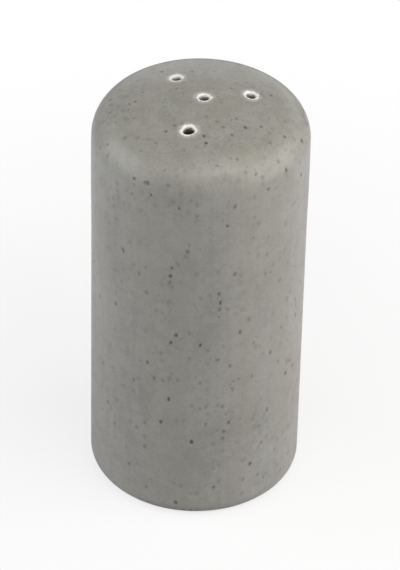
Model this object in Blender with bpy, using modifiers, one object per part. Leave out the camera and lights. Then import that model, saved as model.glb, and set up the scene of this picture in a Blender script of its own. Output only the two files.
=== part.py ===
"""Table salt shaker: a hollow glazed stoneware body with pour holes in its crown, filled through
the base, and the soft stopper that plugs the filling hole. Metres, +Z up, standing on z = 0."""

import math

import bpy
from mathutils import Matrix, Vector

MM = 0.001

# Body, outside
BODY_DIAMETER = 46.0 * MM
BODY_HEIGHT = 95.4 * MM
CROWN_RADIUS = 69.0 * MM
SHOULDER_RADIUS = 7.4 * MM
BASE_EDGE_RADIUS = 3.5 * MM

# Body, walls
WALL = 4.0 * MM
CROWN_THICKNESS = 4.0 * MM
BASE_THICKNESS = 5.0 * MM
FLOOR_FILLET = 5.0 * MM
LEAST_FILLET = 0.5 * MM

# Pour holes, pierced by hand square to the crown: distance from the axis, and angle from +X
POUR_HOLE_DIAMETER = 2.5 * MM
POUR_HOLE_RIM = 0.5 * MM
POUR_HOLE_PLACES = {
    "middle": (0.5 * MM, 21.0),
    "right": (10.6 * MM, 14.0),
    "back_left": (9.9 * MM, 123.5),
    "front": (11.0 * MM, 256.5),
}

# Filling hole and the recess that keeps the stopper off the table
FILL_HOLE_DIAMETER = 20.0 * MM
FILL_HOLE_EDGE = 0.8 * MM
RECESS_MARGIN = 1.8 * MM
RECESS_FILLET = 1.0 * MM
FOOT_INNER_EDGE = 0.8 * MM

# Stopper
RIB_CLEARANCE = 0.3 * MM
SEAT_GAP = 0.3 * MM
STAND_CLEARANCE = 1.2 * MM
FLANGE_OVERLAP = 2.25 * MM
FLANGE_THICKNESS = 1.5 * MM
FLANGE_EDGE = 0.6 * MM
RIB_HEIGHT = 0.7 * MM
RIB_GAP = 0.3 * MM
RIB_COUNT = 3
PLUG_REACH = 3.5 * MM
PLUG_WALL = 1.5 * MM
PLUG_TOP_THICKNESS = 1.8 * MM
PLUG_TOP_EDGE = 1.2 * MM
HOLLOW_EDGE = 0.5 * MM
TAB_THICKNESS = 2.2 * MM
TAB_END_GAP = 2.6 * MM
TAB_BEAD_DIAMETER = 3.2 * MM
TAB_EDGE = 0.4 * MM

# Steps round a turned piece and along its curves
BODY_STEPS = 64
STOPPER_STEPS = 48
POUR_HOLE_STEPS = 24
CROWN_POINTS = 7
SHOULDER_POINTS = 7
EDGE_POINTS = 4
RIB_POINTS = 5
BEAD_STEPS = 16
MERGE = 0.00001

# Where the pieces meet
BODY_RADIUS = BODY_DIAMETER / 2
FILL_HOLE_RADIUS = FILL_HOLE_DIAMETER / 2
FLANGE_RADIUS = FILL_HOLE_RADIUS + FLANGE_OVERLAP
RECESS_RADIUS = FLANGE_RADIUS + RECESS_MARGIN
SEAT_HEIGHT = STAND_CLEARANCE + FLANGE_THICKNESS + SEAT_GAP
FLOOR_HEIGHT = SEAT_HEIGHT + BASE_THICKNESS
PLUG_RADIUS = FILL_HOLE_RADIUS - RIB_CLEARANCE - RIB_HEIGHT
HOLLOW_RADIUS = PLUG_RADIUS - PLUG_WALL
PLUG_TOP = BASE_THICKNESS + PLUG_REACH
FLANGE_BOTTOM = -SEAT_GAP - FLANGE_THICKNESS
RIB_PITCH = BASE_THICKNESS / RIB_COUNT
BEAD_LENGTH = 2 * (HOLLOW_RADIUS - TAB_END_GAP)

GLAZE = ("speckled_grey_glaze", (0.30, 0.29, 0.26, 1.0), 0.35)
SILICONE = ("translucent_silicone", (0.78, 0.77, 0.73, 1.0), 0.45)


def clear_scene():
    for old in list(bpy.data.objects):
        bpy.data.objects.remove(old, do_unlink=True)


def new_collection(name):
    collection = bpy.data.collections.new(name)
    bpy.context.scene.collection.children.link(collection)
    return collection


def new_material(name, colour, roughness):
    material = bpy.data.materials.new(name)
    material.use_nodes = True
    shader = material.node_tree.nodes["Principled BSDF"]
    shader.inputs["Base Color"].default_value = colour
    shader.inputs["Roughness"].default_value = roughness
    shader.inputs["Metallic"].default_value = 0.0
    return material


def arc(centre, radius, start, end, points=EDGE_POINTS):
    """Points of an arc in the profile plane. Angles are in degrees from +r towards +z."""
    angles = [math.radians(start + (end - start) * k / (points - 1)) for k in range(points)]
    return [(centre[0] + radius * math.cos(a), centre[1] + radius * math.sin(a)) for a in angles]


def crown_outline(radius, height, crown_radius, shoulder_radius):
    """Outline from the apex on the axis to the top of the straight wall: a spherical crown that
    runs smoothly into a rounded shoulder."""
    reach = radius - shoulder_radius
    crown_centre = height - crown_radius
    lean = math.degrees(math.asin(reach / (crown_radius - shoulder_radius)))
    shoulder_centre = crown_centre + math.sqrt((crown_radius - shoulder_radius) ** 2 - reach**2)
    crown = arc((0.0, crown_centre), crown_radius, 90.0, 90.0 - lean, CROWN_POINTS)
    shoulder = arc((reach, shoulder_centre), shoulder_radius, 90.0 - lean, 0.0, SHOULDER_POINTS)
    return [(0.0, height)] + crown[1:] + shoulder[1:]


def body_profile():
    """Closed turned section: down the outside, across the foot, up through the filling hole and
    back up the inside to the axis."""
    foot_outer = BODY_RADIUS - BASE_EDGE_RADIUS
    foot_inner = RECESS_RADIUS + FOOT_INNER_EDGE
    hole_edge = FILL_HOLE_RADIUS + FILL_HOLE_EDGE
    inner_radius = BODY_RADIUS - WALL
    inner_height = BODY_HEIGHT - CROWN_THICKNESS
    inner_crown = CROWN_RADIUS - CROWN_THICKNESS
    inner_shoulder = max(SHOULDER_RADIUS - WALL, LEAST_FILLET)
    floor_fillet = min(FLOOR_FILLET, inner_radius - hole_edge)
    return (
        crown_outline(BODY_RADIUS, BODY_HEIGHT, CROWN_RADIUS, SHOULDER_RADIUS)
        + arc((foot_outer, BASE_EDGE_RADIUS), BASE_EDGE_RADIUS, 0.0, -90.0)
        + arc((foot_inner, FOOT_INNER_EDGE), FOOT_INNER_EDGE, -90.0, -180.0)
        + arc((RECESS_RADIUS - RECESS_FILLET, SEAT_HEIGHT - RECESS_FILLET), RECESS_FILLET, 0.0, 90.0)
        + arc((hole_edge, SEAT_HEIGHT + FILL_HOLE_EDGE), FILL_HOLE_EDGE, -90.0, -180.0)
        + arc((hole_edge, FLOOR_HEIGHT - FILL_HOLE_EDGE), FILL_HOLE_EDGE, 180.0, 90.0)
        + arc((inner_radius - floor_fillet, FLOOR_HEIGHT + floor_fillet), floor_fillet, -90.0, 0.0)
        + crown_outline(inner_radius, inner_height, inner_crown, inner_shoulder)[::-1]
    )


def rib(height):
    """Half-round sealing rib on the plug, listed downwards."""
    half = (RIB_PITCH - RIB_GAP) / 2
    angles = [math.radians(90.0 - 180.0 * k / (RIB_POINTS - 1)) for k in range(RIB_POINTS)]
    return [(PLUG_RADIUS + RIB_HEIGHT * math.cos(a), height + half * math.sin(a)) for a in angles]


def stopper_profile():
    """Closed turned section of the hollow stopper, with z measured from the seat in the recess."""
    rim = FLANGE_RADIUS - FLANGE_EDGE
    ceiling = PLUG_TOP - PLUG_TOP_THICKNESS
    rib_heights = [BASE_THICKNESS - RIB_PITCH * (k + 0.5) for k in range(RIB_COUNT)]
    ribs = [point for height in rib_heights for point in rib(height)]
    return (
        [(0.0, PLUG_TOP)]
        + arc((PLUG_RADIUS - PLUG_TOP_EDGE, PLUG_TOP - PLUG_TOP_EDGE), PLUG_TOP_EDGE, 90.0, 0.0)
        + ribs
        + [(PLUG_RADIUS, -SEAT_GAP)]
        + arc((rim, -SEAT_GAP - FLANGE_EDGE), FLANGE_EDGE, 90.0, 0.0)
        + arc((rim, FLANGE_BOTTOM + FLANGE_EDGE), FLANGE_EDGE, 0.0, -90.0)
        + arc((HOLLOW_RADIUS + HOLLOW_EDGE, FLANGE_BOTTOM + HOLLOW_EDGE), HOLLOW_EDGE, -90.0, -180.0)
        + [(HOLLOW_RADIUS, ceiling), (0.0, ceiling)]
    )


def cutter_profile():
    """Closed turned section of a pour hole: a straight bore with a countersunk rim, longer than
    the crown is thick at both ends. z = 0 lies on the crown."""
    bore = POUR_HOLE_DIAMETER / 2
    above = POUR_HOLE_RIM
    below = 2 * CROWN_THICKNESS
    return [
        (0.0, above),
        (bore + POUR_HOLE_RIM + above, above),
        (bore, -POUR_HOLE_RIM),
        (bore, -below),
        (0.0, -below),
    ]


def turned(name, profile, steps, collection):
    """Object made by turning a profile, given as (r, z) points, once round Z."""
    mesh = bpy.data.meshes.new(name)
    points = [(r, 0.0, z) for r, z in profile]
    mesh.from_pydata(points, [(k, k + 1) for k in range(len(points) - 1)], [])
    made = bpy.data.objects.new(name, mesh)
    collection.objects.link(made)
    screw = made.modifiers.new("turn", "SCREW")
    screw.axis = "Z"
    screw.angle = math.tau
    screw.steps = steps
    screw.render_steps = steps
    screw.use_merge_vertices = True
    screw.merge_threshold = MERGE
    screw.use_smooth_shade = True
    return made


def as_helper(helper, collection):
    """Marks an object as a construction tool that isn't part of the shaker."""
    for owner in list(helper.users_collection):
        owner.objects.unlink(helper)
    collection.objects.link(helper)
    helper.hide_render = True
    helper.display_type = "WIRE"
    return helper


def combine(target, operation, helper):
    boolean = target.modifiers.new(f"{operation.lower()} {helper.name}", "BOOLEAN")
    boolean.operation = operation
    boolean.solver = "EXACT"
    boolean.object = helper


def crown_point(distance, angle):
    """Point of the crown's outside at that distance from the axis, and the lean of its normal."""
    lean = math.asin(distance / CROWN_RADIUS)
    height = BODY_HEIGHT - CROWN_RADIUS * (1.0 - math.cos(lean))
    return Vector((distance * math.cos(angle), distance * math.sin(angle), height)), lean


def make_body(parts, cutters):
    """Slip-cast stoneware shell with its pour holes."""
    body = turned("body", body_profile(), BODY_STEPS, parts)
    for name, (distance, degrees) in POUR_HOLE_PLACES.items():
        angle = math.radians(degrees)
        place, lean = crown_point(distance, angle)
        cutter = turned(f"pour_hole_{name}", cutter_profile(), POUR_HOLE_STEPS, cutters)
        cutter.location = place
        cutter.rotation_euler = (0.0, lean, angle)
        combine(body, "DIFFERENCE", as_helper(cutter, cutters))
    return body


def tab_blade(cutters, top, bottom):
    """Flat blade of the pull tab, from inside the plug's top down to its bead."""
    bpy.ops.mesh.primitive_cube_add(size=1.0)
    blade = bpy.context.object
    blade.name = "tab_blade"
    width = BEAD_LENGTH - 2 * TAB_EDGE
    blade.data.transform(Matrix.Diagonal((TAB_THICKNESS, width, top - bottom, 1.0)))
    blade.location = (0.0, 0.0, (top + bottom) / 2)
    bevel = blade.modifiers.new("soft edges", "BEVEL")
    bevel.width = TAB_EDGE
    bevel.segments = 2
    return as_helper(blade, cutters)


def tab_bead(cutters, height):
    """Round bead along the tab's free edge, for the fingertips."""
    radius = TAB_BEAD_DIAMETER / 2
    bpy.ops.mesh.primitive_cylinder_add(vertices=BEAD_STEPS, radius=radius, depth=BEAD_LENGTH)
    bead = bpy.context.object
    bead.name = "tab_bead"
    bead.rotation_euler = (math.pi / 2, 0.0, 0.0)
    bead.location = (0.0, 0.0, height)
    bevel = bead.modifiers.new("soft ends", "BEVEL")
    bevel.width = TAB_EDGE
    bevel.segments = 2
    return as_helper(bead, cutters)


def make_stopper(parts, cutters):
    """Moulded stopper: a ribbed hollow plug, a flange and a pull tab inside the hollow."""
    stopper = turned("stopper", stopper_profile(), STOPPER_STEPS, parts)
    root = PLUG_TOP - PLUG_TOP_THICKNESS / 2
    bead_height = FLANGE_BOTTOM + TAB_BEAD_DIAMETER / 2
    for helper in (tab_blade(cutters, root, bead_height), tab_bead(cutters, bead_height)):
        combine(stopper, "UNION", helper)
        helper.parent = stopper
    stopper.location = (0.0, 0.0, SEAT_HEIGHT)
    return stopper


def finish(piece, material):
    piece.data.materials.append(new_material(*material))


clear_scene()
shaker = new_collection("salt_shaker")
tools = new_collection("cutters")
finish(make_body(shaker, tools), GLAZE)
finish(make_stopper(shaker, tools), SILICONE)
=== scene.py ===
"""Looks of a table salt shaker: a speckled stoneware shell and the soft stopper in its base."""

import math

import bmesh
import bpy
import numpy as np
from mathutils import Matrix, Vector


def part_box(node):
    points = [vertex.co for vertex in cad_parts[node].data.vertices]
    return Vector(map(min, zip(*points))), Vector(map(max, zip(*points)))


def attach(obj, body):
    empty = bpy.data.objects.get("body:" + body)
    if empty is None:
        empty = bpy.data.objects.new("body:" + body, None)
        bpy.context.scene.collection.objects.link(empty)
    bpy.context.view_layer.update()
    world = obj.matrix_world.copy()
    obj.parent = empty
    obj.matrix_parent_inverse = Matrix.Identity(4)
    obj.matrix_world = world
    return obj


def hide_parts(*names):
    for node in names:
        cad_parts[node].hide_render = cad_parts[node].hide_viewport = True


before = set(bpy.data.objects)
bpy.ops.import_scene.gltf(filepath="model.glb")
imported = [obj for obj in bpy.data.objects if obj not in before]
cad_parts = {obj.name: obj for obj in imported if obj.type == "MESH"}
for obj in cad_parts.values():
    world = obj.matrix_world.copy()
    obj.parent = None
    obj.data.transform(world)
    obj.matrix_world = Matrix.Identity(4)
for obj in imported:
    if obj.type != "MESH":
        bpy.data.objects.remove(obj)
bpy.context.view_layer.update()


# Stoneware shell. Cast in one piece from iron-specked slip and dipped in a satin grey glaze, so the
# wall, shoulder and domed crown have no seam. Its pour holes are pierced by hand in the soft clay. The
# base has a flat foot ring round a shallow recess, with the filling hole in its middle.
mm = 0.001
shell_low, shell_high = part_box("body")
shell_radius = (shell_high.x - shell_low.x) / 2
shell_height = 95.4 * mm
shell_wall = 4.0 * mm
crown_radius = 69.0 * mm
shoulder_radius = 7.4 * mm
base_edge = 3.5 * mm
foot_inner_radius = 14.05 * mm
foot_inner_edge = 0.8 * mm
recess_height = 3.0 * mm
recess_fillet = 1.0 * mm
fill_hole_radius = 10.0 * mm
fill_hole_edge = 0.8 * mm
chamber_floor = 8.0 * mm
chamber_fillet = 5.0 * mm
swell_height = 78.0 * mm
swell_reach = 15.0 * mm
swell_size = 0.1 * mm
turns = 256
repeat_step = 1e-7
weld_distance = 1e-6

shoulder_reach = shell_radius - shoulder_radius
crown_lean = np.arcsin(shoulder_reach / (crown_radius - shoulder_radius))
crown_centre = np.array([0.0, 0.0, shell_height - crown_radius])
shoulder_height = crown_centre[2] + (crown_radius - shoulder_radius) * np.cos(crown_lean)


def arc(centre, radius, start, end, points):
    """Arc in the profile plane: centre plus radius times (cos a, sin a), for even steps of the
    angle a, in degrees from outwards towards up."""
    angle = np.radians(np.linspace(start, end, points))
    return np.array(centre) + radius * np.stack([np.cos(angle), np.sin(angle)], axis=1)


def chain(*stretches):
    """Stretches of a profile joined end to end, without the points that repeat the one before."""
    points = np.vstack(stretches)
    step = np.linalg.norm(np.diff(points, axis=0), axis=1)
    return points[np.append(True, step > repeat_step)]


def straight(start, end, points):
    """Even points from start to end."""
    return np.linspace(start, end, points)


def turned(profile, columns):
    """Surface of revolution: (r cos t, r sin t, z) for profile points (r, z) and even steps of t."""
    angle = np.arange(columns) * 2 * np.pi / columns
    radius, height = profile[:, :1], profile[:, 1:]
    ring = np.ones_like(angle)
    return np.stack([radius * np.cos(angle), radius * np.sin(angle), height * ring], axis=-1)


def shell_profile():
    """Section of the shell from the crown's outer edge down the outside, over the foot, up through
    the filling hole and the chamber, to the crown's inner edge. Below the shoulder the wall swells
    a little, by the square of one less the square of the way from the swell's middle, and not at
    all past its reach."""
    lean = np.degrees(crown_lean)
    outer = chain(
        arc((shoulder_reach, shoulder_height), shoulder_radius, 90 - lean, 0, points=20),
        straight((shell_radius, shoulder_height), (shell_radius, base_edge), points=48),
        arc((shell_radius - base_edge, base_edge), base_edge, 0, -90, points=14),
    )
    swell = 1 - ((outer[:, 1] - swell_height) / swell_reach) ** 2
    outer[:, 0] += swell_size * np.clip(swell, 0, None) ** 2
    foot_edge = foot_inner_radius + foot_inner_edge
    hole_edge = fill_hole_radius + fill_hole_edge
    corner = foot_inner_radius - recess_fillet
    chamber = shell_radius - shell_wall
    chamber_bend = chamber_floor + chamber_fillet
    inner_shoulder = shoulder_radius - shell_wall
    under = chain(
        straight((shell_radius - base_edge, 0), (foot_edge, 0), points=6),
        arc((foot_edge, foot_inner_edge), foot_inner_edge, -90, -180, points=8),
        arc((corner, recess_height - recess_fillet), recess_fillet, 0, 90, points=8),
        arc((hole_edge, recess_height + fill_hole_edge), fill_hole_edge, -90, -180, points=8),
        arc((hole_edge, chamber_floor - fill_hole_edge), fill_hole_edge, 180, 90, points=8),
    )
    inner = chain(
        arc((chamber - chamber_fillet, chamber_bend), chamber_fillet, -90, 0, points=10),
        straight((chamber, chamber_bend), (chamber, shoulder_height), points=12),
        arc((shoulder_reach, shoulder_height), inner_shoulder, 0, 90 - lean, points=10),
    )
    return chain(outer, under, inner)


# Each hole's distance from the shaker's axis, and its turn in degrees from the right to the back.
hole_places = {
    "middle": (0.5 * mm, 21.0),
    "right": (10.6 * mm, 14.0),
    "back_left": (9.9 * mm, 123.5),
    "front": (11.0 * mm, 256.5),
}
hole_bores = {"middle": 1.12 * mm, "right": 1.12 * mm, "back_left": 1.12 * mm, "front": 1.22 * mm}
hole_rim = 0.32 * mm
hole_inner_edge = 0.4 * mm
hole_oval = 0.03
hole_three_sided = 0.02
hole_lobe_start = 0.4
hole_lobe_step = 1.7
lip_depth = 0.12 * mm
# Painted shade in the bores: it starts and is full at these depths, and fades over this reach from the
# bore.
bore_shade_start = 0.55 * mm
bore_shade_end = 1.7 * mm
bore_shade_reach = 0.8 * mm
seam_points = 32
spoke_points = 14
edge_points = 9
bore_points = 10
cell_rows = 21
cell_crowding = 1.9


def meeting_point(a, b, c):
    """Point equally far from three points of a plane: the centre of the circle through them."""
    sides = 2 * np.array([b - a, c - a])
    return np.linalg.solve(sides, np.array([b @ b - a @ a, c @ c - a @ a]))


def crown_cells():
    """Splits the crown into one cell for each hole, three round the middle one. A cell's outline is
    the level part of unit directions from the crown's centre, and neighbours share its points."""
    spots = {
        name: reach / crown_radius * np.array([np.cos(np.radians(turn)), np.sin(np.radians(turn))])
        for name, (reach, turn) in hole_places.items()
    }
    ring = [name for name in hole_places if name != "middle"]
    step = 2 * np.pi / turns
    corners = [
        meeting_point(spots["middle"], spots[ring[k]], spots[ring[(k + 1) % 3]])
        for k in range(3)
    ]
    marks = [int(np.round(np.arctan2(c[1], c[0]) / step)) % turns for c in corners]
    angle = np.arange(turns) * step
    rim = np.sin(crown_lean) * np.stack([np.cos(angle), np.sin(angle)], axis=1)
    seams = [np.linspace(corners[k], corners[(k + 1) % 3], seam_points)[:-1] for k in range(3)]
    cells = {"middle": np.vstack(seams)}
    for k, name in enumerate(ring):
        before, after = corners[k - 1], corners[k]
        first, last = marks[k - 1], marks[k]
        edge = rim[np.arange(first, first + (last - first) % turns + 1) % turns]
        cells[name] = np.vstack([
            np.linspace(before, edge[0], spoke_points)[:-1],
            edge[:-1],
            np.linspace(edge[-1], after, spoke_points)[:-1],
            np.linspace(after, before, seam_points)[:-1],
        ])
    return spots, cells


def pierced_cell(spot, outline, bore, lobe_turn):
    """Crown round one hole, from the chamber side through the bore to the outside. A row has a
    distance from the hole's axis, a share of the way on from there to the cell's outline, and a
    depth under the outside. Each point is the crown's centre plus (crown radius less depth) times
    its unit direction. The hole is a little out of round, by cosines of two and three times its
    angle. Also gives two masks: the way from the hole's lip, along the outside or down the bore, and
    the painted shade in the bore, which rises evenly with the depth and falls off as a bell curve
    of the distance from the bore."""
    bend = np.radians(np.linspace(0, 90, edge_points))
    shares = np.linspace(0, 1, cell_rows) ** cell_crowding
    inner_shares = shares[:0:-2]
    bore_depths = np.linspace(shell_wall - hole_inner_edge, hole_rim, bore_points)[1:-1]
    chamber_side = [
        0 * inner_shares + bore + hole_inner_edge,
        inner_shares,
        0 * inner_shares + shell_wall,
    ]
    inner_edge = [
        bore + hole_inner_edge * (1 - np.sin(bend)),
        0 * bend,
        shell_wall - hole_inner_edge * (1 - np.cos(bend)),
    ]
    through = [0 * bore_depths + bore, 0 * bore_depths, bore_depths]
    outer_edge = [bore + hole_rim * (1 - np.cos(bend)), 0 * bend, hole_rim * (1 - np.sin(bend))]
    outside = [0 * shares[1:] + bore + hole_rim, shares[1:], 0 * shares[1:]]
    stretches = [chamber_side, inner_edge, through, outer_edge, outside]
    rows = np.vstack([np.stack(stretch, axis=1) for stretch in stretches])
    reach, share, depth = (column[:, None, None] for column in rows.T)
    away = outline - spot
    angle = np.arctan2(away[:, 1], away[:, 0])
    two_lobes = hole_oval * np.cos(2 * angle + lobe_turn)
    three_lobes = hole_three_sided * np.cos(3 * angle - lobe_turn)
    oval = 1 + two_lobes + three_lobes
    towards = oval[:, None] * away / np.linalg.norm(away, axis=1)[:, None]
    rim = spot + reach / crown_radius * towards[None]
    across = rim + share * (outline[None] - rim)
    up = np.sqrt(1 - (across**2).sum(axis=-1, keepdims=True))
    points = crown_centre + (crown_radius - depth) * np.concatenate([across, up], axis=-1)
    beyond = np.clip(np.linalg.norm(across - spot, axis=-1) * crown_radius / oval - bore, 0, None)
    from_lip = beyond + np.clip(depth[..., 0] - lip_depth, 0, None)
    bore_shade_values = np.clip((depth[..., 0] - bore_shade_start) / (bore_shade_end - bore_shade_start), 0, 1)
    return points, from_lip, bore_shade_values * np.exp(-((beyond / bore_shade_reach) ** 2))


def grid_quads(rows, columns):
    """Corner numbers of the quads of a grid, row by row. The last column joins the first."""
    row, column = np.meshgrid(np.arange(rows - 1), np.arange(columns), indexing="ij")
    after = (column + 1) % columns
    here, below = row * columns, (row + 1) * columns
    corners = [here + column, below + column, below + after, here + after]
    return np.stack(corners, axis=-1).reshape(-1, 4)


def welded_piece(name, grids, masks):
    """Object from grids of points that meet at their borders: the grids' quads in one mesh, with
    points that coincide made one. Each mask is a named share for every point."""
    mesh = bpy.data.meshes.new(name)
    starts = np.cumsum([0] + [grid.shape[0] * grid.shape[1] for grid in grids])
    quads = np.vstack([grid_quads(*grid.shape[:2]) + start for grid, start in zip(grids, starts)])
    points = np.vstack([grid.reshape(-1, 3) for grid in grids])
    mesh.from_pydata(points, [], quads.tolist())
    for mask_name, values in masks.items():
        layer = mesh.attributes.new(mask_name, "FLOAT", "POINT")
        in_order = np.concatenate([part.ravel() for part in values])
        layer.data.foreach_set("value", in_order.astype(np.float32))
    welded = bmesh.new()
    welded.from_mesh(mesh)
    bmesh.ops.remove_doubles(welded, verts=welded.verts, dist=weld_distance)
    welded.to_mesh(mesh)
    welded.free()
    mesh.shade_smooth()
    made = bpy.data.objects.new(name, mesh)
    bpy.context.scene.collection.objects.link(made)
    return made


def make_shell():
    """Shell as one closed surface: the turned walls and, for each hole, a pierced cell of crown."""
    spots, cells = crown_cells()
    walls = turned(shell_profile(), turns)
    grids = [walls]
    from_lip = [np.full(walls.shape[:2], shell_radius)]
    # The second mask is painted shade inside the bores.
    bore_shade_values = [np.zeros(walls.shape[:2])]
    for k, name in enumerate(hole_places):
        lobe_turn = hole_lobe_start + hole_lobe_step * k
        made = pierced_cell(spots[name], cells[name], hole_bores[name], lobe_turn)
        for kept, new in zip((grids, from_lip, bore_shade_values), made):
            kept.append(new)
    return welded_piece("stoneware_shell", grids, {"from_lip": from_lip, "bore_shade_mask": bore_shade_values})


def add_node(tree, kind, values, **settings):
    """Node of that kind with its settings. Values set its sockets, or link them to outputs."""
    made = tree.nodes.new(kind)
    for name, setting in settings.items():
        setattr(made, name, setting)
    for socket, value in values.items():
        if isinstance(value, bpy.types.NodeSocket):
            tree.links.new(value, made.inputs[socket])
        else:
            made.inputs[socket].default_value = value
    return made


def ramp(tree, value, start, end, low=0.0, high=1.0):
    """Smooth step of a value, from low at start to high at end."""
    sockets = {"Value": value, "From Min": start, "From Max": end, "To Min": low, "To Max": high}
    made = add_node(tree, "ShaderNodeMapRange", sockets, interpolation_type="SMOOTHSTEP")
    return made.outputs["Result"]


def math_node(tree, operation, first, second=0.0):
    """One step of arithmetic on two numbers."""
    return add_node(tree, "ShaderNodeMath", {0: first, 1: second}, operation=operation).outputs[0]


def mixed(tree, share, first, second, blend="MIX"):
    """Colour that goes from first to second with the share."""
    sockets = {0: share, 6: first, 7: second}
    return add_node(tree, "ShaderNodeMix", sockets, data_type="RGBA", blend_type=blend).outputs[2]


def noise(tree, place, size, detail=2.0, roughness=0.5, seed=0.0):
    """Soft cloudy noise with features of about that size. Each seed gives a different one."""
    sockets = {
        "Vector": place,
        "W": seed,
        "Scale": 1 / size,
        "Detail": detail,
        "Roughness": roughness,
    }
    return add_node(tree, "ShaderNodeTexNoise", sockets, noise_dimensions="4D").outputs["Fac"]


glaze_light = (0.336, 0.330, 0.302, 1.0)
glaze_deep = (0.258, 0.254, 0.234, 1.0)
glaze_warm = (0.302, 0.287, 0.248, 1.0)
glaze_thin = (0.94, 0.925, 0.87, 1.0)
# A slight warm tint, multiplied in from the shoulder up.
glaze_warm_top = (1.0, 1.0, 0.967, 1.0)
# Painted shade: the near-black colour inside the bores, where little light gets in.
painted_bore_shade = (0.07, 0.06, 0.048, 1.0)
speck_dark = (0.045, 0.036, 0.026, 1.0)
bare_clay = (0.52, 0.47, 0.40, 1.0)
bare_clay_dark = (0.42, 0.37, 0.31, 1.0)
glaze_roughness = (0.30, 0.38)
glaze_gloss = 0.35
cloud_size = 11 * mm
# The cloud's seed is one whose dark and light patches on the crown follow the shade there: partly
# random tone, partly painted shade.
tone_and_shade_cloud_seed = 23.8
mottle_size = 2.4 * mm
run_size = 1.6 * mm
run_stretch = 0.07
grain_size = 0.5 * mm
tone_shares = {"cloud": 0.45, "mottle": 0.28, "runs": 0.20, "grain": 0.37}
tone_middle = 0.65
tone_reach = 0.15
# The cloud is stronger on the crown from these heights, partly as random tone and partly as painted
# shade.
crown_heights = (88 * mm, 93 * mm)
crown_tone_and_shade_gain = 1.35
warmth_size = 7 * mm
warmth_span = (0.35, 0.75)
warmth_share = 0.6
warm_top_heights = (85 * mm, 90 * mm)
# Painted shade along the base: the glaze is darkened by this share between these heights.
base_shade_heights = (0.6 * mm, 3.2 * mm)
base_shade_share = 0.35
lip_fray = 1.05 * mm
lip_fray_size = 0.7 * mm
lip_pale = (0.32 * mm, 0.75 * mm)
lip_halo = (0.5 * mm, 1.6 * mm)
lip_halo_share = 0.25
bold_specks = {
    "spacing": 1.65 * mm,
    "sizes": (0.62 * mm, 0.84 * mm),
    "share": 0.42,
    "strength": (0.12, 0.225),
}
fine_specks = {
    "spacing": 1.1 * mm,
    "sizes": (0.34 * mm, 0.52 * mm),
    "share": 0.7,
    "strength": (0.05, 0.06),
}
noise_middle = 0.5
speck_gathering = 6 * mm
speck_gathering_span = (0.35, 0.65)
speck_crowding = (0.15, 1.9)
speck_fray = 0.4 * mm
speck_fray_reach = 0.6 * mm
speck_stretch = 0.75
speck_shift = (189.1 * mm, 150.6 * mm, 185.2 * mm)
speck_core = 0.25
speck_rarest = 0.002
speck_fullest = 0.95
bare_heights = (0.38 * mm, 0.62 * mm)
bare_fray = 0.5 * mm
bare_fray_size = 1.2 * mm
bare_roughness = 0.85
clay_grain = 0.4 * mm
sheen_size = 3 * mm
sheen_span = (0.3, 0.7)
peel_size = 0.9 * mm
peel_height = 0.5
pit_depth = 0.6
grit_size = 0.18 * mm
grit_height = 1.5
relief_strength = 0.5
relief_depth = 0.02 * mm


def specks(tree, place, spacing, sizes, share, strength):
    """Iron specks that show through the glaze: soft dots about random points in space, where the
    surface cuts them, a little longer upwards and frayed by a fine noise. Only some points count,
    more of them where a slow noise is high, so that they gather in places. Their strength is a
    least one, less a share of the logarithm of a random number, so that most are faint and few are
    bold. Faint ones are wider."""
    fray = add_node(tree, "ShaderNodeTexNoise", {
        "Vector": place, "Scale": 1 / speck_fray, "Detail": 1.0})
    shift = add_node(tree, "ShaderNodeVectorMath", {
        0: fray.outputs["Color"], 1: (noise_middle,) * 3}, operation="SUBTRACT").outputs[0]
    long = add_node(tree, "ShaderNodeMapping", {
        "Vector": place, "Location": speck_shift, "Scale": (1.0, 1.0, speck_stretch)}).outputs[0]
    frayed = add_node(tree, "ShaderNodeVectorMath", {
        0: shift, 1: (speck_fray_reach,) * 3, 2: long}, operation="MULTIPLY_ADD").outputs[0]
    cells = add_node(tree, "ShaderNodeTexVoronoi", {"Vector": frayed, "Scale": 1 / spacing})
    chance = add_node(tree, "ShaderNodeSeparateColor", {0: cells.outputs["Color"]})
    few, many = (share * part for part in speck_crowding)
    crowd = ramp(tree, noise(tree, place, speck_gathering), *speck_gathering_span, few, many)
    counted = math_node(tree, "LESS_THAN", chance.outputs[0], crowd)
    radius = ramp(tree, chance.outputs[2], 0.0, 1.0, sizes[0] / spacing, sizes[1] / spacing)
    from_middle = math_node(tree, "DIVIDE", cells.outputs["Distance"], radius)
    dot = ramp(tree, from_middle, speck_core, 1.0, 1.0, 0.0)
    draw = math_node(tree, "MAXIMUM", chance.outputs[2], speck_rarest)
    rare = math_node(tree, "LOGARITHM", draw, math.e)
    bold = math_node(tree, "SUBTRACT", strength[0], math_node(tree, "MULTIPLY", rare, strength[1]))
    shown = math_node(tree, "MULTIPLY", dot, math_node(tree, "MINIMUM", bold, speck_fullest))
    return math_node(tree, "MULTIPLY", counted, shown)


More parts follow.
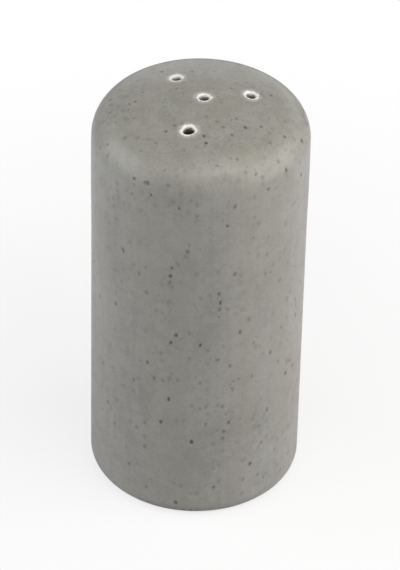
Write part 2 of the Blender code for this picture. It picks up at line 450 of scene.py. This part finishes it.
def glaze_material():
    """Satin stoneware glaze: cloudy grey with faint runs down the wall and iron specks, a little
    warmer from the shoulder up, with a stronger cloud on the crown that is partly painted shade,
    pale and without specks where it thins over the hole edges, painted shade inside the bores and
    along the base, and left off the foot. Its tone is a sum of four noises, each by its share."""
    material = bpy.data.materials.new("speckled_grey_glaze")
    material.use_nodes = True
    tree = material.node_tree
    shader = tree.nodes["Principled BSDF"]
    place = add_node(tree, "ShaderNodeTexCoord", {}).outputs["Object"]
    height = add_node(tree, "ShaderNodeSeparateXYZ", {0: place}).outputs["Z"]
    drawn = add_node(tree, "ShaderNodeMapping", {
        "Vector": place, "Scale": (1.0, 1.0, run_stretch)}).outputs[0]

    unevenness = {
        "cloud": noise(tree, place, cloud_size, detail=4.0, roughness=0.6, seed=tone_and_shade_cloud_seed),
        "mottle": noise(tree, place, mottle_size),
        "runs": noise(tree, drawn, run_size),
        "grain": noise(tree, place, grain_size, roughness=0.6),
    }
    tone = -tone_middle
    for name, share in tone_shares.items():
        tone = math_node(tree, "ADD", tone, math_node(tree, "MULTIPLY", unevenness[name], share))
    # Stronger cloud on the crown: partly random tone, partly painted shade on its back left.
    crown_tone_and_shade = ramp(tree, height, *crown_heights, 1.0, crown_tone_and_shade_gain)
    tone = math_node(tree, "MULTIPLY", tone, crown_tone_and_shade)
    colour = mixed(tree, ramp(tree, tone, -tone_reach, tone_reach), glaze_deep, glaze_light)
    warm_runs = noise(tree, drawn, warmth_size, detail=3.0)
    warmth = ramp(tree, warm_runs, *warmth_span, 0.0, warmth_share)
    colour = mixed(tree, warmth, colour, glaze_warm)
    # Slightly warmer from the shoulder up, over the shoulder and crown.
    warm_top = ramp(tree, height, *warm_top_heights)
    colour = mixed(tree, warm_top, colour, glaze_warm_top, "MULTIPLY")
    # Painted shade: the glaze darkens towards the foot, where the base meets the floor.
    base_shade = ramp(tree, height, *base_shade_heights, base_shade_share, 0.0)
    colour = mixed(tree, base_shade, colour, glaze_deep, "MULTIPLY")

    from_lip = add_node(tree, "ShaderNodeAttribute", {}, attribute_name="from_lip").outputs["Fac"]
    frayed = math_node(tree, "SUBTRACT", noise(tree, place, lip_fray_size), noise_middle)
    from_lip = math_node(tree, "ADD", from_lip, math_node(tree, "MULTIPLY", frayed, lip_fray))
    halo = ramp(tree, from_lip, *lip_halo, lip_halo_share, 0.0)
    lip = ramp(tree, from_lip, *lip_pale, 1.0, 0.0)
    colour = mixed(tree, math_node(tree, "MAXIMUM", lip, halo), colour, glaze_thin)

    # Painted shade: inside the bores the glaze goes near black, more so deeper down.
    bore_shade_mask = add_node(tree, "ShaderNodeAttribute", {}, attribute_name="bore_shade_mask").outputs["Fac"]
    colour = mixed(tree, bore_shade_mask, colour, painted_bore_shade)
    bold, fine = specks(tree, place, **bold_specks), specks(tree, place, **fine_specks)
    off_lip = math_node(tree, "SUBTRACT", 1.0, lip)
    iron = math_node(tree, "MULTIPLY", math_node(tree, "MAXIMUM", bold, fine), off_lip)
    colour = mixed(tree, iron, colour, speck_dark)

    ragged = math_node(tree, "MULTIPLY", noise(tree, place, bare_fray_size), bare_fray)
    bare = ramp(tree, math_node(tree, "ADD", height, ragged), *bare_heights, 1.0, 0.0)
    clay = mixed(tree, noise(tree, place, clay_grain, detail=3.0), bare_clay, bare_clay_dark)
    colour = mixed(tree, bare, colour, clay)

    satin = ramp(tree, noise(tree, place, sheen_size, detail=3.0), *sheen_span, *glaze_roughness)
    dull = math_node(tree, "MAXIMUM", satin, math_node(tree, "MULTIPLY", bare, bare_roughness))
    peel = math_node(tree, "MULTIPLY", noise(tree, place, peel_size), peel_height)
    pits = math_node(tree, "SUBTRACT", peel, math_node(tree, "MULTIPLY", iron, pit_depth))
    gritty = math_node(tree, "MULTIPLY", noise(tree, place, grit_size), bare)
    grit = math_node(tree, "MULTIPLY", gritty, grit_height)
    relief = add_node(tree, "ShaderNodeBump", {
        "Strength": relief_strength,
        "Distance": relief_depth,
        "Height": math_node(tree, "ADD", pits, grit),
    }).outputs[0]

    tree.links.new(colour, shader.inputs["Base Color"])
    tree.links.new(dull, shader.inputs["Roughness"])
    tree.links.new(relief, shader.inputs["Normal"])
    shader.inputs["Specular IOR Level"].default_value = glaze_gloss
    return material


shell = make_shell()
shell.data.materials.append(glaze_material())
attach(shell, "body")
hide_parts("body")


# Stopper. Moulded in one piece from soft milky silicone: a flange that closes the base recess, a
# hollow plug whose ribs grip the filling hole, and a pull tab with a round bead inside the hollow. It
# is pushed in by hand.
stopper_low, stopper_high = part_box("stopper")
flange_radius = (stopper_high.x - stopper_low.x) / 2
flange_bottom = stopper_low.z
flange_thickness = 1.5 * mm
flange_top = flange_bottom + flange_thickness
flange_edge = 0.6 * mm
plug_top = stopper_high.z
plug_radius = 9.0 * mm
plug_edge = 1.2 * mm
gate_radius = 0.9 * mm
gate_dip = 0.25 * mm
rib_height = 0.7 * mm
rib_half = 0.68 * mm
rib_levels = (7.17 * mm, 5.5 * mm, 3.83 * mm)
hollow_radius = 7.5 * mm
hollow_edge = 0.5 * mm
plug_end_thickness = 1.8 * mm
hollow_top = plug_top - plug_end_thickness
hollow_fillet = 0.7 * mm
tab_half_thickness = 1.1 * mm
tab_half_width = 4.5 * mm
tab_root = 0.5 * mm
bead_radius = 1.6 * mm
bead_half_length = 4.9 * mm
tab_squareness = 5.0
circle_squareness = 2.0
rib_points = 13
ceiling_rows = 9
root_rows = 7
blade_rows = 7
bead_rows = 20
stopper_columns = 144


def round_rows(profile):
    """Rows of a round stretch: both half widths are the radius, and the outline is a circle."""
    radius, height = profile.T
    return np.stack([radius, radius, 0 * radius + circle_squareness, height], axis=1)


def stopper_rows():
    """Half thickness, half width, squareness and height of each outline of the stopper, from the
    plug's top down the outside, over the flange, up the hollow, and down the tab to its bead."""
    ribs = [
        np.stack([plug_radius + rib_height * np.cos(a), level + rib_half * np.sin(a)], axis=1)
        for level in rib_levels
        for a in [np.radians(np.linspace(90, -90, rib_points))]
    ]
    rim = flange_radius - flange_edge
    lip = hollow_radius + hollow_edge
    lip_bend = flange_bottom + hollow_edge
    start = hollow_radius - hollow_fillet
    bend_height = hollow_top - hollow_fillet
    around = chain(
        straight((0, plug_top - gate_dip), (gate_radius, plug_top - gate_dip), points=4),
        straight((gate_radius + gate_dip, plug_top), (plug_radius - plug_edge, plug_top), points=8),
        arc((plug_radius - plug_edge, plug_top - plug_edge), plug_edge, 90, 0, points=10),
        *ribs,
        straight((plug_radius, flange_top), (rim, flange_top), points=6),
        arc((rim, flange_top - flange_edge), flange_edge, 90, 0, points=8),
        arc((rim, flange_bottom + flange_edge), flange_edge, 0, -90, points=8),
        straight((rim, flange_bottom), (lip, flange_bottom), points=8),
        arc((lip, lip_bend), hollow_edge, -90, -180, points=8),
        straight((hollow_radius, lip_bend), (hollow_radius, bend_height), points=8),
        arc((start, bend_height), hollow_fillet, 0, 90, points=8),
    )
    share = np.linspace(0, 1, ceiling_rows)[1:]
    thick, wide = tab_half_thickness + tab_root, tab_half_width + tab_root
    ceiling = np.stack([
        start + (thick - start) * share,
        start + (wide - start) * share,
        circle_squareness + (tab_squareness - circle_squareness) * share,
        0 * share + hollow_top,
    ], axis=1)
    bend = np.radians(np.linspace(0, 90, root_rows)[1:])
    bead_height = flange_bottom + bead_radius
    neck = np.arcsin(tab_half_thickness / bead_radius)
    turn = np.linspace(neck, np.pi, bead_rows)
    swell = bead_radius * np.sin(turn)
    end = bead_half_length - bead_radius + swell
    root = np.stack([
        tab_half_thickness + tab_root * (1 - np.sin(bend)),
        tab_half_width + tab_root * (1 - np.sin(bend)),
        0 * bend + tab_squareness,
        hollow_top - tab_root * (1 - np.cos(bend)),
    ], axis=1)
    blade_end = bead_height + bead_radius * np.cos(neck)
    blade_heights = np.linspace(hollow_top - tab_root, blade_end, blade_rows)[1:-1]
    blade = np.stack([
        0 * blade_heights + tab_half_thickness,
        0 * blade_heights + tab_half_width,
        0 * blade_heights + tab_squareness,
        blade_heights,
    ], axis=1)
    bead = np.stack([
        swell,
        end,
        0 * turn + tab_squareness,
        bead_height + bead_radius * np.cos(turn),
    ], axis=1)
    return np.vstack([round_rows(around), ceiling, root, blade, bead])


def loft(rows, columns):
    """Surface through outlines: the point at angle t of a row is (a c, b s, z), where a and b are
    the half widths, and c and s are the cosine and sine of t raised to 2 over the squareness, with
    their signs kept."""
    angle = np.arange(columns) * 2 * np.pi / columns
    half_x, half_y, square, height = (column[:, None] for column in rows.T)
    cosine, sine = np.cos(angle), np.sin(angle)
    x = half_x * np.sign(cosine) * np.abs(cosine) ** (2 / square)
    y = half_y * np.sign(sine) * np.abs(sine) ** (2 / square)
    return np.stack([x, y, height + 0 * x], axis=-1)


silicone_milky = (0.80, 0.79, 0.75, 1.0)
silicone_deep = (0.72, 0.71, 0.66, 1.0)
silicone_cloud = 4 * mm
silicone_satin = (0.38, 0.52)
silicone_satin_size = 1.5 * mm
silicone_span = (0.3, 0.7)
mould_grain = 0.12 * mm
mould_strength = 0.4
mould_depth = 0.01 * mm
scatter_share = 0.6
scatter_colour = (1.0, 0.95, 0.85)
scatter_depth = 2 * mm


def silicone_material():
    """Milky silicone: cloudy, lets light some way in, and has the mould's fine texture."""
    material = bpy.data.materials.new("milky_silicone")
    material.use_nodes = True
    tree = material.node_tree
    shader = tree.nodes["Principled BSDF"]
    place = add_node(tree, "ShaderNodeTexCoord", {}).outputs["Object"]
    cloud = ramp(tree, noise(tree, place, silicone_cloud, detail=3.0), *silicone_span)
    patches = noise(tree, place, silicone_satin_size, detail=3.0)
    satin = ramp(tree, patches, *silicone_span, *silicone_satin)
    relief = add_node(tree, "ShaderNodeBump", {
        "Strength": mould_strength,
        "Distance": mould_depth,
        "Height": noise(tree, place, mould_grain),
    }).outputs[0]
    tree.links.new(mixed(tree, cloud, silicone_deep, silicone_milky), shader.inputs["Base Color"])
    tree.links.new(satin, shader.inputs["Roughness"])
    tree.links.new(relief, shader.inputs["Normal"])
    shader.inputs["Subsurface Weight"].default_value = scatter_share
    shader.inputs["Subsurface Radius"].default_value = scatter_colour
    shader.inputs["Subsurface Scale"].default_value = scatter_depth
    return material


stopper = welded_piece("silicone_stopper", [loft(stopper_rows(), stopper_columns)], {})
stopper.data.materials.append(silicone_material())
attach(stopper, "stopper")
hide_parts("stopper")


# Floor and light. A pale matt sheet that the shaker stands on, lit softly from above and both sides.
# It is mostly see-through to the eye, so that the white behind it shows and the shadow stays light.
floor_half = 1.5
floor_white = (0.95, 0.95, 0.95, 1.0)
floor_bounce = (0.50, 0.50, 0.50, 1.0)
floor_share = 0.24
floor_near = 0.05
floor_far = 0.17


def seen_rays(tree):
    """One for the rays that show the background itself: camera, mirror and see-through rays."""
    path = add_node(tree, "ShaderNodeLightPath", {})
    shown = math_node(tree, "MAXIMUM", path.outputs["Is Camera Ray"], path.outputs["Is Glossy Ray"])
    return math_node(tree, "MAXIMUM", shown, path.outputs["Is Transmission Ray"])


def make_floor():
    """Flat square of four corners. The eye sees a share of it, which falls off smoothly with the
    distance from the shaker, and its underside is clear."""
    mesh = bpy.data.meshes.new("floor")
    corners = floor_half * np.array([[-1, -1, 0], [1, -1, 0], [1, 1, 0], [-1, 1, 0]])
    mesh.from_pydata(corners, [], [[0, 1, 2, 3]])
    material = bpy.data.materials.new("pale_floor")
    material.use_nodes = True
    tree = material.node_tree
    tree.nodes.remove(tree.nodes["Principled BSDF"])
    behind = add_node(tree, "ShaderNodeNewGeometry", {}).outputs["Backfacing"]
    seen = seen_rays(tree)
    eye_ray = add_node(tree, "ShaderNodeLightPath", {}).outputs["Is Camera Ray"]
    place = add_node(tree, "ShaderNodeTexCoord", {}).outputs["Object"]
    away = add_node(tree, "ShaderNodeVectorMath", {0: place}, operation="LENGTH").outputs["Value"]
    eye_share = ramp(tree, away, floor_near, floor_far, floor_share, 0.0)
    share = ramp(tree, eye_ray, 0.0, 1.0, 1.0, eye_share)
    solid = math_node(tree, "MULTIPLY", share, math_node(tree, "SUBTRACT", 1.0, behind))
    colour = mixed(tree, seen, floor_bounce, floor_white)
    matt = add_node(tree, "ShaderNodeBsdfDiffuse", {"Color": colour}).outputs[0]
    clear = add_node(tree, "ShaderNodeBsdfTransparent", {}).outputs[0]
    sheet = add_node(tree, "ShaderNodeMixShader", {0: solid, 1: clear, 2: matt}).outputs[0]
    tree.links.new(sheet, tree.nodes["Material Output"].inputs["Surface"])
    mesh.materials.append(material)
    made = bpy.data.objects.new("floor", mesh)
    bpy.context.scene.collection.objects.link(made)
    return made


make_floor()

pure_white = (1.0, 1.0, 1.0, 1.0)
room_strength = 0.08
white_strength = 1.0
# Each soft box's turn to the right and rise in degrees, seen from the front, its distance, width
# and height in metres, its power in watts and its colour.
soft_boxes = {
    "overhead_right": (60, 75, 0.80, (0.50, 0.40), 0.98, (1.0, 0.99, 0.88)),
    "overhead_left": (-40, 75, 0.80, (0.50, 0.40), 0.20, (0.98, 0.98, 1.0)),
    "front_left": (-18, 50, 0.80, (0.40, 0.26), 0.90, (0.97, 0.97, 1.0)),
    "front_right": (33, 50, 0.80, (0.40, 0.26), 1.36, (1.0, 0.99, 0.98)),
    "right": (76, 19, 0.42, (0.44, 0.38), 1.46, (1.0, 0.98, 0.98)),
    "left": (-80, 17, 0.42, (0.44, 0.35), 1.13, (0.93, 0.95, 1.0)),
    "back": (175, 10, 0.60, (0.50, 0.20), 0.22, (1.0, 1.0, 1.0)),
}

world = bpy.data.worlds.new("studio")
bpy.context.scene.world = world
world.use_nodes = True
sky = world.node_tree
sky.nodes.remove(sky.nodes["Background"])
room, white = (
    add_node(sky, "ShaderNodeBackground", {"Color": pure_white, "Strength": strength}).outputs[0]
    for strength in (room_strength, white_strength)
)
shown = add_node(sky, "ShaderNodeMixShader", {0: seen_rays(sky), 1: room, 2: white}).outputs[0]
sky.links.new(shown, sky.nodes["World Output"].inputs["Surface"])

aim = Vector((0.0, 0.0, shell_height / 2))
for name, (turn, rise, distance, (width, height), power, colour) in soft_boxes.items():
    turn, rise = math.radians(turn), math.radians(rise)
    level = math.cos(rise)
    towards = Vector((math.sin(turn) * level, -math.cos(turn) * level, math.sin(rise)))
    lamp = bpy.data.lights.new(f"soft_box_{name}", "AREA")
    lamp.shape = "RECTANGLE"
    lamp.size, lamp.size_y = width, height
    lamp.energy = power
    lamp.color = colour
    box = bpy.data.objects.new(f"soft_box_{name}", lamp)
    box.location = aim + distance * towards
    box.rotation_euler = (-towards).to_track_quat("-Z", "Y").to_euler()
    bpy.context.scene.collection.objects.link(box)


# Camera. A long lens that looks down on the shaker, held a little out of level. The shaker's middle
# lies at the given pixel of the picture. The focal length is in pixels, the angles are in radians and
# the film's width is in millimetres.
picture = (400, 570)
middle_pixel = (197.68, 280.54)
focal_pixels = 3644.2
camera_elevation = 0.64577
camera_roll = 0.02299
camera_distance = 787.6 * mm
film_width = 36.0
nearest_seen = 0.01
furthest_seen = 20.0

level_right = Vector((1.0, 0.0, 0.0))
level_up = Vector((0.0, math.sin(camera_elevation), math.cos(camera_elevation)))
back = Vector((0.0, -math.cos(camera_elevation), math.sin(camera_elevation)))
right = math.cos(camera_roll) * level_right + math.sin(camera_roll) * level_up
up = math.cos(camera_roll) * level_up - math.sin(camera_roll) * level_right
per_pixel = camera_distance / focal_pixels
offset = (picture[0] / 2 - middle_pixel[0]) * right - (picture[1] / 2 - middle_pixel[1]) * up
eye = aim + back * camera_distance
look = (aim + offset * per_pixel - eye).normalized()
right = (right - right.dot(look) * look).normalized()

lens = bpy.data.cameras.new("camera")
lens.sensor_width = film_width
lens.lens = focal_pixels * film_width / max(picture)
lens.clip_start = nearest_seen
lens.clip_end = furthest_seen
camera = bpy.data.objects.new("camera", lens)
axes = Matrix((right, right.cross(look), -look)).transposed()
camera.matrix_world = Matrix.Translation(eye) @ axes.to_4x4()
bpy.context.scene.collection.objects.link(camera)
bpy.context.scene.camera = camera
bpy.context.scene.view_settings.view_transform = "Standard"
